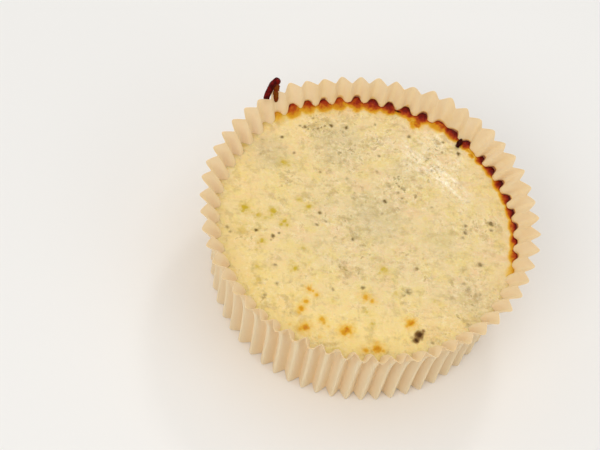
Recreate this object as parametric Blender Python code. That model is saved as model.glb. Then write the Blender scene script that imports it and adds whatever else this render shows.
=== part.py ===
"""A round baked cheesecake in its pleated paper case.

Metres, +Z up. The origin is on the ground, under the middle of the case. -Y is the near side.
Azimuths are in degrees from +X towards +Y.
"""
import math

import bmesh
import bpy
import numpy as np
from mathutils import Vector
from mathutils.geometry import delaunay_2d_cdt

# The paper case: its height, the reach of its outer folds at the base and at the rim, and its folds
CASE_HEIGHT = 0.0405
BASE_RADIUS = 0.0500
RIM_RADIUS = 0.0563
FLARE_POWER = 4.7
CORNER = 0.0012
PLEATS = 56
BASE_DEPTH = 0.0031
RIM_DEPTH = 0.0028
FOLD_BLUNTNESS = 0.10
COLUMN_PHASES = (-0.5, -0.14, 0.0, 0.14)
WALL = 0.00056
FLOOR = 0.0005

# How the folds stray: a slow drift as (waves round the case, degrees, crest), then each fold by itself
FIRST_FOLD = -0.94
DRIFT = ((1, 2.25, -161.0), (2, 0.95, 86.0), (3, 0.48, 35.0))
FOLD_STRAY = 0.35
REACH_STRAY = 0.00018
HEIGHT_STRAY = 0.00030

# How far some folds turn from that, as (pleat, degrees): beside the cake, where two crowd pleat 9 between
# them, and at the rim
CAKE_TURNS = ((-6, 0.0), (1, 1.2), (5, 1.7), (8, 2.7), (9, 0.2), (10, -2.3), (12, -0.9), (14, 0.2), (17, 1.0),
              (22, 1.0), (29, 0.0))
RIM_TURNS = ((-5, 0.0), (1, -0.8), (12, -0.9), (17, 0.2), (20, 0.3), (23, 0.0))

# The rim's dent at the back: (azimuth, half width, fade in degrees, depth), by a power of the height
RIM_DENT = (104.0, 33.0, 18.0, 0.0018)
DENT_POWER = 4.0

# The cake: its level at the edge, the hollow of its middle, and the gap to the paper
CAKE_TOP = 0.0311
CAKE_BOTTOM = 0.0008
PAPER_GAP = 0.00042
TOP_HOLLOW = 0.0010
TOP_SWELL = 0.00009
SWELLS = 7
SWELL_LENGTHS = (0.010, 0.024)
TOP_SPACING = 0.0034
EDGE_MARGIN = 0.0009

# Where the batter climbed the folds while it baked: its rise, and the middle and half width of the arc
CLIMB = 0.0016
CLIMB_MIDDLE = 66.0
CLIMB_HALF_WIDTH = 76.0
CLIMB_FADE = 14.0

# The drip burnt onto the rim: (azimuth, half width in degrees, lowest point, thickness)
OUTER_LOBE = (139.0, 3.4, 0.0350, 0.0013)
INNER_LOBE = (143.5, 2.8, 0.0335, 0.0015)
DRIP_RISE = 0.0009

# The heights at which the walls have a row of points: beside the cake, then above it
WALL_LEVELS = (0.0014, 0.0140, 0.0270)
UPPER_LEVELS = (0.0312, 0.0345, 0.0378)

FOLD_SEED = 56
SWELL_SEED = 31
MERGE_DISTANCE = 1e-7
INSIDE_OUTLINE = 1
SMOOTH_ANGLE = math.radians(35.0)


def clear_scene():
    for thing in list(bpy.data.objects):
        bpy.data.objects.remove(thing)


def smooth_step(value):
    """Rises from 0 to 1 as the value does, level at both ends."""
    value = np.clip(value, 0.0, 1.0)
    return value * value * (3.0 - 2.0 * value)


def turn_between(azimuth, other):
    """How far apart two azimuths are, the shorter way round."""
    return np.abs((azimuth - other + 180.0) % 360.0 - 180.0)


def turns_at(pleat, turns):
    """Straight lines between the turns that some pleats have, round the whole case."""
    pleats, degrees = zip(*turns)
    return np.interp(pleat, pleats, degrees, period=PLEATS)


class Folds:
    """The columns of points that run up the pleats: their azimuths and how far out each one lies."""

    def __init__(self):
        draws = np.random.default_rng(FOLD_SEED)
        turn = draws.uniform(-1.0, 1.0, 2 * PLEATS) * FOLD_STRAY
        reach = draws.uniform(-1.0, 1.0, 2 * PLEATS) * REACH_STRAY
        height = draws.uniform(-1.0, 1.0, 2 * PLEATS) * HEIGHT_STRAY
        pleat = np.arange(PLEATS)[:, None] + np.array(COLUMN_PHASES)[None, :]
        pleat = pleat.ravel()
        half_folds = np.arange(2 * PLEATS) / 2.0
        even = FIRST_FOLD + 360.0 / PLEATS * pleat
        drift = sum(size * np.cos(np.radians(waves * even - crest)) for waves, size, crest in DRIFT)
        azimuth = even + drift + np.interp(pleat, half_folds, turn, period=PLEATS)
        self.beside_cake = azimuth + turns_at(pleat, CAKE_TURNS)
        self.at_rim = azimuth + turns_at(pleat, RIM_TURNS)
        self.wave = self.fold_wave(pleat - np.round(pleat))
        self.reach = np.interp(pleat, half_folds, reach, period=PLEATS)
        self.rise = np.interp(pleat, half_folds, height, period=PLEATS)
        middle, half_width, fade, depth = RIM_DENT
        self.dent = depth * smooth_step((half_width - turn_between(self.at_rim, middle)) / fade)
        rim = self.radius(CASE_HEIGHT)[:, None] * self.direction(CASE_HEIGHT)
        self.centre = (rim.min(axis=0) + rim.max(axis=0)) / 2.0

    @staticmethod
    def fold_wave(phase):
        """Straight flanks from a blunt outer fold, at +1, down to a sharp inner fold, at -1."""
        fall = np.hypot(phase, FOLD_BLUNTNESS) - FOLD_BLUNTNESS
        whole = math.hypot(0.5, FOLD_BLUNTNESS) - FOLD_BLUNTNESS
        return 1.0 - 2.0 * fall / whole

    def direction(self, height):
        """The columns stand up to the cake's top, and lean evenly from there to their places at the rim."""
        free = np.clip((np.asarray(height) - CAKE_TOP) / (CASE_HEIGHT - CAKE_TOP), 0.0, 1.0)
        angle = np.radians(self.beside_cake + (self.at_rim - self.beside_cake) * free)
        return np.stack([np.cos(angle), np.sin(angle)], axis=1)

    def radius(self, height):
        """The paper's outer face: a flare that grows with a power of the height, less the folds."""
        share = np.asarray(height) / CASE_HEIGHT
        outer = BASE_RADIUS + (RIM_RADIUS - BASE_RADIUS) * share ** FLARE_POWER
        depth = BASE_DEPTH + (RIM_DEPTH - BASE_DEPTH) * share
        below = np.clip(1.0 - np.asarray(height) / CORNER, 0.0, 1.0)
        corner = CORNER * (1.0 - np.sqrt(1.0 - below * below))
        stray = self.reach * share - self.dent * share ** DENT_POWER
        return outer - depth * (1.0 - self.wave) / 2.0 - corner + stray

    def lobe(self, lobe, height):
        """A rounded drip: widest in the middle of its arc, swelling from its lowest point to the rim."""
        azimuth, half_width, lowest, thickness = lobe
        across = np.clip(1.0 - ((self.at_rim - azimuth) / half_width) ** 2, 0.0, 1.0)
        up = smooth_step((height - lowest) / (CASE_HEIGHT - lowest))
        return thickness * np.sqrt(across) * up

    def ring(self, radius, height):
        """One point on each column, at the given radius and height."""
        flat = radius[:, None] * self.direction(height) - self.centre
        level = np.broadcast_to(height, radius.shape)
        return np.column_stack([flat, level])

    def outer_ring(self, height):
        radius = self.radius(height) + self.lobe(OUTER_LOBE, height)
        return self.ring(radius, height)

    def inner_ring(self, height):
        radius = self.radius(height) - WALL - self.lobe(INNER_LOBE, height)
        return self.ring(radius, height)

    def rim_height(self):
        """The cut edge, a little uneven, and higher where the drip lies over it."""
        over = self.lobe(OUTER_LOBE, CASE_HEIGHT) / OUTER_LOBE[3]
        inside = self.lobe(INNER_LOBE, CASE_HEIGHT) / INNER_LOBE[3]
        return CASE_HEIGHT + self.rise + DRIP_RISE * np.maximum(over, inside)

    def cake_ring(self, height):
        return self.ring(self.radius(height) - WALL - PAPER_GAP, height)


def add_ring(mesh, points):
    return [mesh.verts.new(Vector(point)) for point in points]


def join_rings(mesh, lower, upper):
    """Four-sided faces between two rings of as many points."""
    for index, vert in enumerate(lower):
        after = (index + 1) % len(lower)
        mesh.faces.new((vert, lower[after], upper[after], upper[index]))


def join_to_point(mesh, ring, height):
    """A flat disc, as triangles from a ring to a point in its middle."""
    middle = mesh.verts.new((0.0, 0.0, height))
    for index, vert in enumerate(ring):
        mesh.faces.new((vert, ring[(index + 1) % len(ring)], middle))


def material(name, colour, roughness, subsurface):
    finish = bpy.data.materials.new(name)
    finish.use_nodes = True
    shader = finish.node_tree.nodes["Principled BSDF"]
    shader.inputs["Base Color"].default_value = (*colour, 1.0)
    shader.inputs["Roughness"].default_value = roughness
    shader.inputs["Metallic"].default_value = 0.0
    shader.inputs["Subsurface Weight"].default_value = subsurface
    shader.inputs["Subsurface Radius"].default_value = (0.004, 0.002, 0.001)
    return finish


def add_object(name, mesh, finish):
    """Turns the faces outwards and puts the shape in the scene under its own name."""
    bmesh.ops.recalc_face_normals(mesh, faces=mesh.faces)
    data = bpy.data.meshes.new(name)
    mesh.to_mesh(data)
    mesh.free()
    data.shade_smooth()
    data.set_sharp_from_angle(angle=SMOOTH_ANGLE)
    data.materials.append(finish)
    thing = bpy.data.objects.new(name, data)
    bpy.context.scene.collection.objects.link(thing)
    return thing


def top_height(x, y):
    """The cake's top: a shallow dish with a few long, low swells running across it."""
    draws = np.random.default_rng(SWELL_SEED)
    radius = np.hypot(x, y) / (BASE_RADIUS - BASE_DEPTH)
    height = CAKE_TOP - TOP_HOLLOW * (1.0 - np.minimum(radius, 1.0) ** 2)
    for _ in range(SWELLS):
        heading = draws.uniform(0.0, 2.0 * math.pi)
        length = draws.uniform(*SWELL_LENGTHS)
        start = draws.uniform(0.0, 2.0 * math.pi)
        along = x * math.cos(heading) + y * math.sin(heading)
        height = height + TOP_SWELL * np.sin(2.0 * math.pi * along / length + start)
    return height


def edge_height(folds):
    """The cake's edge: it climbs into the outer folds along the browned arc, and is level elsewhere."""
    strength = smooth_step((CLIMB_HALF_WIDTH - turn_between(folds.beside_cake, CLIMB_MIDDLE)) / CLIMB_FADE)
    return CAKE_TOP + CLIMB * strength * (0.5 + 0.5 * folds.wave) ** 1.5


def inner_points(folds):
    """Points of a triangular grid that lie clear of the cake's fluted edge."""
    reach = folds.radius(CAKE_TOP).min() - WALL - PAPER_GAP - EDGE_MARGIN
    row_height = TOP_SPACING * math.sqrt(3.0) / 2.0
    rows = math.ceil(reach / row_height)
    steps = math.ceil(reach / TOP_SPACING)
    points = []
    for row in range(-rows, rows + 1):
        for step in range(-steps, steps + 1):
            x = (step + 0.5 * (row % 2)) * TOP_SPACING
            y = row * row_height
            if math.hypot(x, y) < reach:
                points.append((x, y))
    return points


def cheesecake(folds):
    """The cake: flat underneath, fluted up its side by the paper, with a soft uneven top."""
    mesh = bmesh.new()
    bottom = add_ring(mesh, folds.cake_ring(CAKE_BOTTOM))
    join_to_point(mesh, bottom, CAKE_BOTTOM)
    below = bottom
    for level in WALL_LEVELS:
        ring = add_ring(mesh, folds.cake_ring(level))
        join_rings(mesh, below, ring)
        below = ring
    edge_points = folds.cake_ring(edge_height(folds))
    edge = add_ring(mesh, edge_points)
    join_rings(mesh, below, edge)

    inside = inner_points(folds)
    flat = [Vector(point[:2]) for point in edge_points] + [Vector(point) for point in inside]
    outline = list(range(len(edge)))
    triangles = delaunay_2d_cdt(flat, [], [outline], INSIDE_OUTLINE, MERGE_DISTANCE)[2]
    heights = top_height(*np.array(inside).T)
    verts = edge + [mesh.verts.new((x, y, z)) for (x, y), z in zip(inside, heights)]
    for triangle in triangles:
        mesh.faces.new([verts[index] for index in triangle])
    return add_object("cheesecake", mesh, material("baked_batter", (0.78, 0.60, 0.30), 0.45, 0.2))


def paper_case(folds):
    """The case: a pleated wall with an outer and an inner face, a cut rim and a flat floor."""
    mesh = bmesh.new()
    rim = folds.rim_height()
    outer_levels = (0.0,) + WALL_LEVELS + UPPER_LEVELS + (rim,)
    inner_levels = (FLOOR,) + WALL_LEVELS + UPPER_LEVELS + (rim,)
    outer = [add_ring(mesh, folds.outer_ring(level)) for level in outer_levels]
    inner = [add_ring(mesh, folds.inner_ring(level)) for level in inner_levels]
    for rings in (outer, inner):
        for lower, upper in zip(rings, rings[1:]):
            join_rings(mesh, lower, upper)
    join_rings(mesh, outer[-1], inner[-1])
    join_to_point(mesh, outer[0], 0.0)
    join_to_point(mesh, inner[0], FLOOR)
    return add_object("paper_case", mesh, material("baking_paper", (0.80, 0.58, 0.33), 0.6, 0.0))


def main():
    clear_scene()
    folds = Folds()
    cheesecake(folds)
    paper_case(folds)


main()
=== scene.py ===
"""The finish of a baked cheesecake in its pleated paper case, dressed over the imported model.

Metres, +Z up. Azimuths are in degrees from +X towards +Y, and -Y is the side nearest the camera.
"""
import math

import bmesh
import bpy
import numpy as np
from mathutils import Matrix, Vector


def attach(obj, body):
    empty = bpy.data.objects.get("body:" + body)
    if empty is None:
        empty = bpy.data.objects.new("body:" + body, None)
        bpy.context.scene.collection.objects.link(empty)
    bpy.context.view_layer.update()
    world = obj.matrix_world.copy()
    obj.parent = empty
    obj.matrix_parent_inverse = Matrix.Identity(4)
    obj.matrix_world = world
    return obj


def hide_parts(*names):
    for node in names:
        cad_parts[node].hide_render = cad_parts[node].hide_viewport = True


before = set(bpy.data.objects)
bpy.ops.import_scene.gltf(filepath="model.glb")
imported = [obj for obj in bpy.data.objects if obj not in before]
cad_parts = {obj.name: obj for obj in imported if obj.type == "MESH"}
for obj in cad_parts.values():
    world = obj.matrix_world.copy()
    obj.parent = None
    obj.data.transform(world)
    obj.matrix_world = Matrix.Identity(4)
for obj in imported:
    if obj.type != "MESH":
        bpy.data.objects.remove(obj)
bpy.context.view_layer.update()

MM = 0.001

# The case and its pleats, as the solids have them
CASE_HEIGHT = 0.0405
BASE_RADIUS = 0.0500
RIM_RADIUS = 0.0563
FLARE_POWER = 4.7
CORNER = 0.0012
PLEATS = 56
BASE_DEPTH = 0.0031
RIM_DEPTH = 0.0028
OUTER_BLUNTNESS = 0.13
INNER_BLUNTNESS = 0.03
FIRST_FOLD = -0.94

# How far each fold strays at random, in degrees round the case and in metres outwards and upwards
FOLD_STRAY = 0.35
REACH_STRAY = 0.00018
HEIGHT_STRAY = 0.00030
FOLD_SEED = 56

# How the folds drift from even spacing: (waves round the case, size, crest), the last two in degrees
DRIFT = ((1, 2.25, -161.0), (2, 0.95, 86.0), (3, 0.48, 35.0))

# How far the folds turn up to the cake's top and at the rim: (pleat, degrees)
CAKE_TURNS = (
    (-6, 0.0), (1, 1.2), (5, 1.7), (8, 2.7), (9, 0.2), (10, -2.3), (12, -0.9), (14, 0.2), (17, 1.0),
    (22, 1.0), (29, 0.0),
)
RIM_TURNS = ((-5, 0.0), (1, -0.8), (12, -0.9), (17, 0.2), (20, 0.3), (23, 0.0))

# The rim is pressed in a little at the back: the middle, half width and fade in degrees, the depth,
# and the power of the height that it grows with
DENT_MIDDLE = 104.0
DENT_HALF_WIDTH = 33.0
DENT_FADE = 18.0
DENT_DEPTH = 0.0018
DENT_POWER = 4.0

# The solids' folds are even beside the cake's top. Here each outer fold is a domed pocket: how far from the
# fold its flank starts and ends, in pleats, and how far below the top this fades
POCKET = (0.09, 0.37)
POCKET_DEPTH = 0.010

# The share of their depth by which the outer folds, and the inner ones, fall short there: (pleat, share)
POCKETS_SHUT = (
    (-4, 0.10), (0, 0.30), (3, 0.30), (5, 0.16), (8, 0.12), (9, 0.55), (10, 0.15), (12, 0.08),
    (14, 0.0),
)
FOLDS_SHORT = (
    (-4, 0.0), (-1, 0.16), (0, 0.34), (3, 0.32), (5, 0.20), (7, 0.20), (8, 0.35), (9, 0.44), (10, 0.40),
    (11, 0.78), (12, 0.36), (13, 0.34), (15, 0.42), (20, 0.45), (21, 0.38), (22, 0.25), (24, 0.0),
)

# The paper as it really is: thin, with the cake lying against it
PAPER = 0.00014
CAKE_INSET = PAPER + 0.00002

# The cake's top, as the solid has it: a shallow dish with long low swells
CAKE_TOP = 0.0311
CAKE_BOTTOM = 0.0004
TOP_HOLLOW = 0.0010
TOP_SWELL = 0.00009
SWELLS = 7
SWELL_LENGTHS = (0.010, 0.024)
SWELL_SEED = 31

# Its fine relief, in millimetres: (height, length)
WRINKLES = (0.11, 5.0)
RIDGES = (0.055, 1.9)
PITS = (0.06, 0.8)

# The ridges are drawn out that many times, along a direction turned by a cosine and a sine
RIDGE_STRETCH = 2.4
RIDGE_TURN = (0.97, 0.22)

# The browned teeth, by the pleat whose fold holds each: (browning, climb in millimetres)
TEETH = {
    0: (0.42, 0.3), 1: (0.90, 0.5), 2: (1.12, 0.5), 3: (1.20, 0.6), 4: (1.22, 0.6), 5: (1.24, 0.8),
    6: (1.26, 0.8), 7: (1.28, 0.8), 8: (1.28, 0.8), 9: (0.60, 0.2), 10: (1.26, 0.9), 11: (1.28, 0.8),
    12: (0.80, 0.7), 13: (1.22, 1.2), 14: (1.26, 1.3), 15: (1.25, 1.4), 16: (1.22, 1.6), 17: (1.08, 1.7),
    18: (0.92, 1.7), 19: (1.0, 1.9), 20: (1.02, 2.3), 21: (0.90, 2.6), 22: (0.48, 2.0), 23: (0.12, 0.6),
}
PLAIN_TOOTH = (0.0, 0.2)

# How the browning runs out to the paper, as (pleat, millimetres): how far inside the folds it starts, its
# length, and how much later it starts between two folds
BROWN_START = (
    (0, 1.4), (4, 1.5), (7, 1.7), (10, 1.9), (12, 2.1), (14, 2.4), (15, 2.7), (16, 2.9), (17, 2.8),
    (18, 2.5), (19, 2.2), (22, 2.4),
)
BROWN_LENGTH = (
    (0, 3.5), (4, 3.7), (8, 4.0), (12, 4.0), (14, 4.8), (16, 5.3), (18, 4.9), (22, 5.3),
)
BROWN_PINCH = (
    (0, 0.6), (4, 0.7), (8, 0.8), (10, 0.7), (12, 0.8), (14, 1.0), (18, 1.0), (20, 1.2), (22, 1.6),
)
# How deep the browning is, from 0 to 1, at shares of that length, and how much more against the paper
BROWN_SHARES = (0.0, 0.12, 0.28, 0.42, 0.60, 0.80, 1.0)
BROWN_DEPTHS = (0.0, 0.05, 0.20, 0.36, 0.52, 0.63, 0.70)
BROWN_EDGE = 0.34

# How far its start wanders at random, and over what length, in millimetres
BROWN_WANDER = (0.6, 2.4)

# The camera, solved from the photo before the case is centred: its place, where it looks, its turn and lens
CAMERA_PLACE = Vector((-0.0004, -0.2567, 0.4198))
CAMERA_TARGET = Vector((-0.0210, -0.0080, 0.0311))
CAMERA_ROLL = math.radians(12.9)
CAMERA_LENS = 84.0
SENSOR_WIDTH = 36.0
PHOTO_SIZE = (600, 450)

# Marks on the top, by their pixel in the photo: (x, y, radius in millimetres, strength)
YELLOW_SPOTS = (
    (245, 208, 1.5, 1.0), (243, 211, 0.9, 0.8), (273, 211, 1.4, 1.0), (271, 215, 0.9, 0.7),
    (258, 215, 1.3, 0.8), (252, 213, 0.7, 0.5), (265, 218, 1.1, 0.55), (284, 221, 1.2, 0.9),
    (281, 224, 0.9, 0.8), (287, 225, 0.9, 0.8), (262, 241, 1.2, 0.8), (258, 243, 0.7, 0.5),
    (242, 229, 2.6, 0.45), (303, 247, 1.1, 0.45), (295, 268, 1.2, 0.9), (291, 271, 0.9, 0.5),
    (258, 281, 1.5, 0.5), (257, 268, 1.4, 0.6), (252, 272, 0.8, 0.4), (384, 270, 1.4, 0.9),
    (380, 273, 0.8, 0.6), (372, 324, 1.2, 0.7), (367, 312, 1.1, 0.6), (435, 302, 1.2, 0.5),
    (439, 305, 0.9, 0.4), (396, 293, 1.3, 0.5), (292, 262, 1.3, 0.45), (309, 206, 1.1, 0.8),
    (299, 199, 1.2, 0.55), (302, 201, 0.7, 0.5), (284, 163, 1.6, 0.85), (289, 165, 0.9, 0.6),
    (281, 158, 1.0, 0.4), (214, 187, 2.6, 0.55), (243, 146, 2.2, 0.4), (262, 124, 2.4, 0.5),
    (227, 160, 1.5, 0.4), (336, 351, 1.6, 0.5), (306, 157, 1.5, 0.35), (278, 186, 1.2, 0.3),
    (333, 300, 1.1, 0.35), (274, 300, 1.2, 0.3), (256, 250, 1.0, 0.4), (310, 262, 0.9, 0.3),
    (345, 270, 1.1, 0.3),
)
ORANGE_SPOTS = (
    (347, 330, 1.5, 1.0), (344, 333, 1.3, 0.85), (350, 333, 0.8, 0.6), (305, 328, 1.5, 0.8),
    (300, 330, 1.0, 0.6), (322, 320, 1.1, 0.7), (324, 323, 0.8, 0.6), (301, 309, 1.1, 0.75),
    (299, 313, 0.7, 0.5), (306, 302, 1.0, 0.7), (309, 289, 1.1, 0.75), (313, 291, 0.7, 0.6),
    (317, 295, 0.9, 0.6), (366, 297, 1.4, 0.72), (372, 301, 1.1, 0.6), (411, 323, 1.5, 0.85),
    (407, 326, 0.9, 0.6), (414, 320, 0.7, 0.55), (365, 351, 1.5, 0.6), (377, 350, 1.6, 0.85),
    (383, 352, 1.0, 0.6), (346, 326, 0.7, 0.5), (328, 326, 0.6, 0.4), (290, 325, 0.7, 0.35),
    (319, 338, 0.9, 0.35),
)
DARK_SPOTS = ((419, 336, 2.0, 1.0), (416, 341, 1.4, 0.95), (423, 332, 1.0, 0.6), (412, 338, 1.0, 0.35))
SPECKS = (
    (282, 138, 0.75, 1.0), (294, 153, 0.7, 0.8), (242, 152, 1.0, 0.8), (346, 128, 1.0, 1.0),
    (343, 133, 0.6, 0.6), (331, 127, 0.9, 1.0), (305, 127, 0.8, 0.9), (320, 212, 0.9, 0.8),
    (317, 224, 0.7, 0.8), (326, 221, 0.7, 0.6), (256, 230, 0.9, 1.0), (273, 236, 0.9, 0.9),
    (271, 240, 0.6, 0.6), (279, 233, 0.7, 0.8), (353, 238, 0.8, 0.9), (385, 201, 0.9, 1.0),
    (458, 155, 0.9, 1.0), (409, 138, 0.9, 0.8), (417, 268, 0.9, 0.8), (443, 143, 0.7, 0.8),
    (363, 287, 0.9, 0.8), (409, 292, 1.4, 0.7), (404, 295, 0.9, 0.6), (490, 225, 1.3, 0.8),
    (491, 231, 0.8, 0.7), (465, 232, 1.3, 0.8), (466, 226, 0.9, 0.7), (463, 238, 0.8, 0.5),
    (480, 265, 1.1, 0.7), (468, 290, 1.3, 0.5), (228, 266, 1.0, 0.7), (227, 228, 1.0, 0.6),
    (230, 232, 0.8, 0.6), (277, 283, 1.0, 0.6), (265, 295, 1.0, 0.5), (432, 344, 0.8, 0.7),
    (313, 119, 0.6, 0.6), (403, 188, 1.2, 0.6), (398, 192, 0.8, 0.6), (402, 198, 0.8, 0.6),
    (389, 186, 1.6, 0.4), (361, 205, 1.0, 0.5), (347, 178, 0.9, 0.5), (345, 160, 1.3, 0.35),
    (320, 172, 0.6, 0.7), (355, 192, 0.6, 0.6), (382, 213, 0.8, 0.6), (377, 172, 0.8, 0.5),
    (379, 156, 0.8, 0.6), (333, 289, 0.8, 0.6), (275, 265, 0.9, 0.6), (432, 207, 0.7, 0.6),
    (240, 186, 0.7, 0.4), (480, 295, 0.8, 0.5), (464, 284, 1.0, 0.5), (490, 314, 0.9, 0.5),
    (468, 325, 1.0, 0.5), (442, 153, 0.7, 0.6), (438, 168, 0.6, 0.5), (375, 125, 0.7, 0.6),
    (290, 185, 0.6, 0.4), (260, 155, 1.0, 0.4), (247, 134, 1.5, 0.4), (262, 140, 0.6, 0.6),
    (293, 296, 0.8, 0.4),
)
# A fine crack, painted as a dark line: painted shade, with no groove cut
CRACK_SHADE = (
    (300, 126, 0.5, 0.9), (303, 128, 0.5, 0.9), (308, 129, 0.5, 0.9), (313, 129.5, 0.5, 0.9),
    (318, 129, 0.5, 0.9), (321, 128, 0.5, 0.9), (325, 127, 0.5, 0.9), (329, 126, 0.5, 0.9),
)
FLECKED_PATCHES = (
    (400, 190, 9.0, 1.0), (465, 232, 6.0, 0.9), (490, 228, 4.0, 0.8), (440, 150, 7.0, 1.0),
    (385, 140, 8.0, 0.9), (330, 215, 9.0, 0.6), (320, 128, 7.0, 1.0), (475, 295, 9.0, 0.7),
    (345, 160, 9.0, 0.9), (250, 235, 7.0, 0.5), (360, 240, 10.0, 0.5), (425, 270, 8.0, 0.5),
    (455, 320, 7.0, 0.7), (265, 290, 7.0, 0.5), (345, 270, 8.0, 0.4), (290, 180, 8.0, 0.4),
    (432, 168, 6.0, 1.0), (415, 162, 6.0, 0.8), (446, 176, 5.0, 0.7),
)
AMBER_BLOBS = (
    (417, 124, 2.3, 0.56), (421, 121, 1.6, 0.66), (413, 126, 1.9, 0.40), (409, 121, 1.6, 0.38),
    (434, 128, 1.7, 0.36), (439, 129, 1.7, 0.46), (444, 131, 1.7, 0.52), (449, 134, 1.6, 0.60),
    (468, 151, 1.3, 0.46), (471, 156, 1.3, 0.46), (388, 111, 1.5, 0.34), (373, 112, 1.6, 0.36),
    (356, 111, 1.6, 0.36), (404, 116, 1.4, 0.34), (296, 116, 1.6, 0.34), (276, 119, 1.8, 0.34),
    (258, 124, 1.6, 0.20),
)
GREY_PATCHES = (
    (375, 215, 17.0, 0.9), (330, 205, 10.0, 0.6), (470, 300, 13.0, 0.75), (440, 240, 12.0, 0.6),
    (405, 175, 10.0, 0.7), (338, 145, 15.0, 0.9), (268, 152, 12.0, 0.9), (425, 148, 9.0, 0.5),
)
# The sheen patches make the top wetter and glossier, and also carry pale streaks of painted highlight in its
# colour
SHEEN_PATCHES = (
    (404, 148, 4.5, 0.7), (413, 155, 5.0, 0.9), (422, 161, 5.0, 0.9), (431, 168, 5.0, 1.0),
    (440, 175, 5.0, 1.0), (449, 183, 4.6, 1.0), (457, 191, 4.2, 0.9), (464, 200, 3.5, 0.6),
    (440, 145, 5.0, 0.8), (425, 143, 5.0, 0.6), (455, 165, 4.0, 0.6), (385, 140, 5.0, 0.5),
    (232, 170, 4.0, 0.4),
)

# Points along the burnt pieces on the top and along its sheen, by their pixel in the photo
SEED_PATH = ((461.6, 139.2), (459.4, 143.2), (456.8, 147.2))
WHISKER_PATH = ((401, 112.3), (397.5, 111.4), (394, 110.4))
GLOW_ENDS = ((398, 143), (466, 202))


def smooth_step(value, low=0.0, high=1.0):
    """Rises from 0 at low to 1 at high, level at both ends."""
    share = np.clip((value - low) / (high - low), 0.0, 1.0)
    return share * share * (3.0 - 2.0 * share)


def turns_at(pleat, turns):
    """Straight lines between the values that some pleats have, round the whole case."""
    pleats, values = zip(*turns)
    return np.interp(pleat, pleats, values, period=PLEATS)


def lattice_noise(x, y, length, seed):
    """Random heights from -1 to 1 on a square lattice of that spacing, blended smoothly between."""
    size = 256
    table = np.random.default_rng(seed).uniform(-1.0, 1.0, (size, size))
    u, v = x / length, y / length
    column, row = np.floor(u).astype(int), np.floor(v).astype(int)
    across, along = smooth_step(u - column), smooth_step(v - row)

    def corner(step_x, step_y):
        return table[(column + step_x) % size, (row + step_y) % size]

    near = corner(0, 0) * (1.0 - across) + corner(1, 0) * across
    far = corner(0, 1) * (1.0 - across) + corner(1, 1) * across
    return near * (1.0 - along) + far * along


def layered_noise(x, y, length, seed, layers=3, fade=0.5):
    """Lattice noise over several spacings, each half the last and fainter by the fade."""
    total = np.zeros(np.broadcast(x, y).shape)
    strength, whole = 1.0, 0.0
    for layer in range(layers):
        total = total + strength * lattice_noise(x + 0.37 * layer, y - 0.21 * layer, length, seed + layer)
        whole += strength
        strength *= fade
        length *= 0.5
    return total / whole


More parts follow.
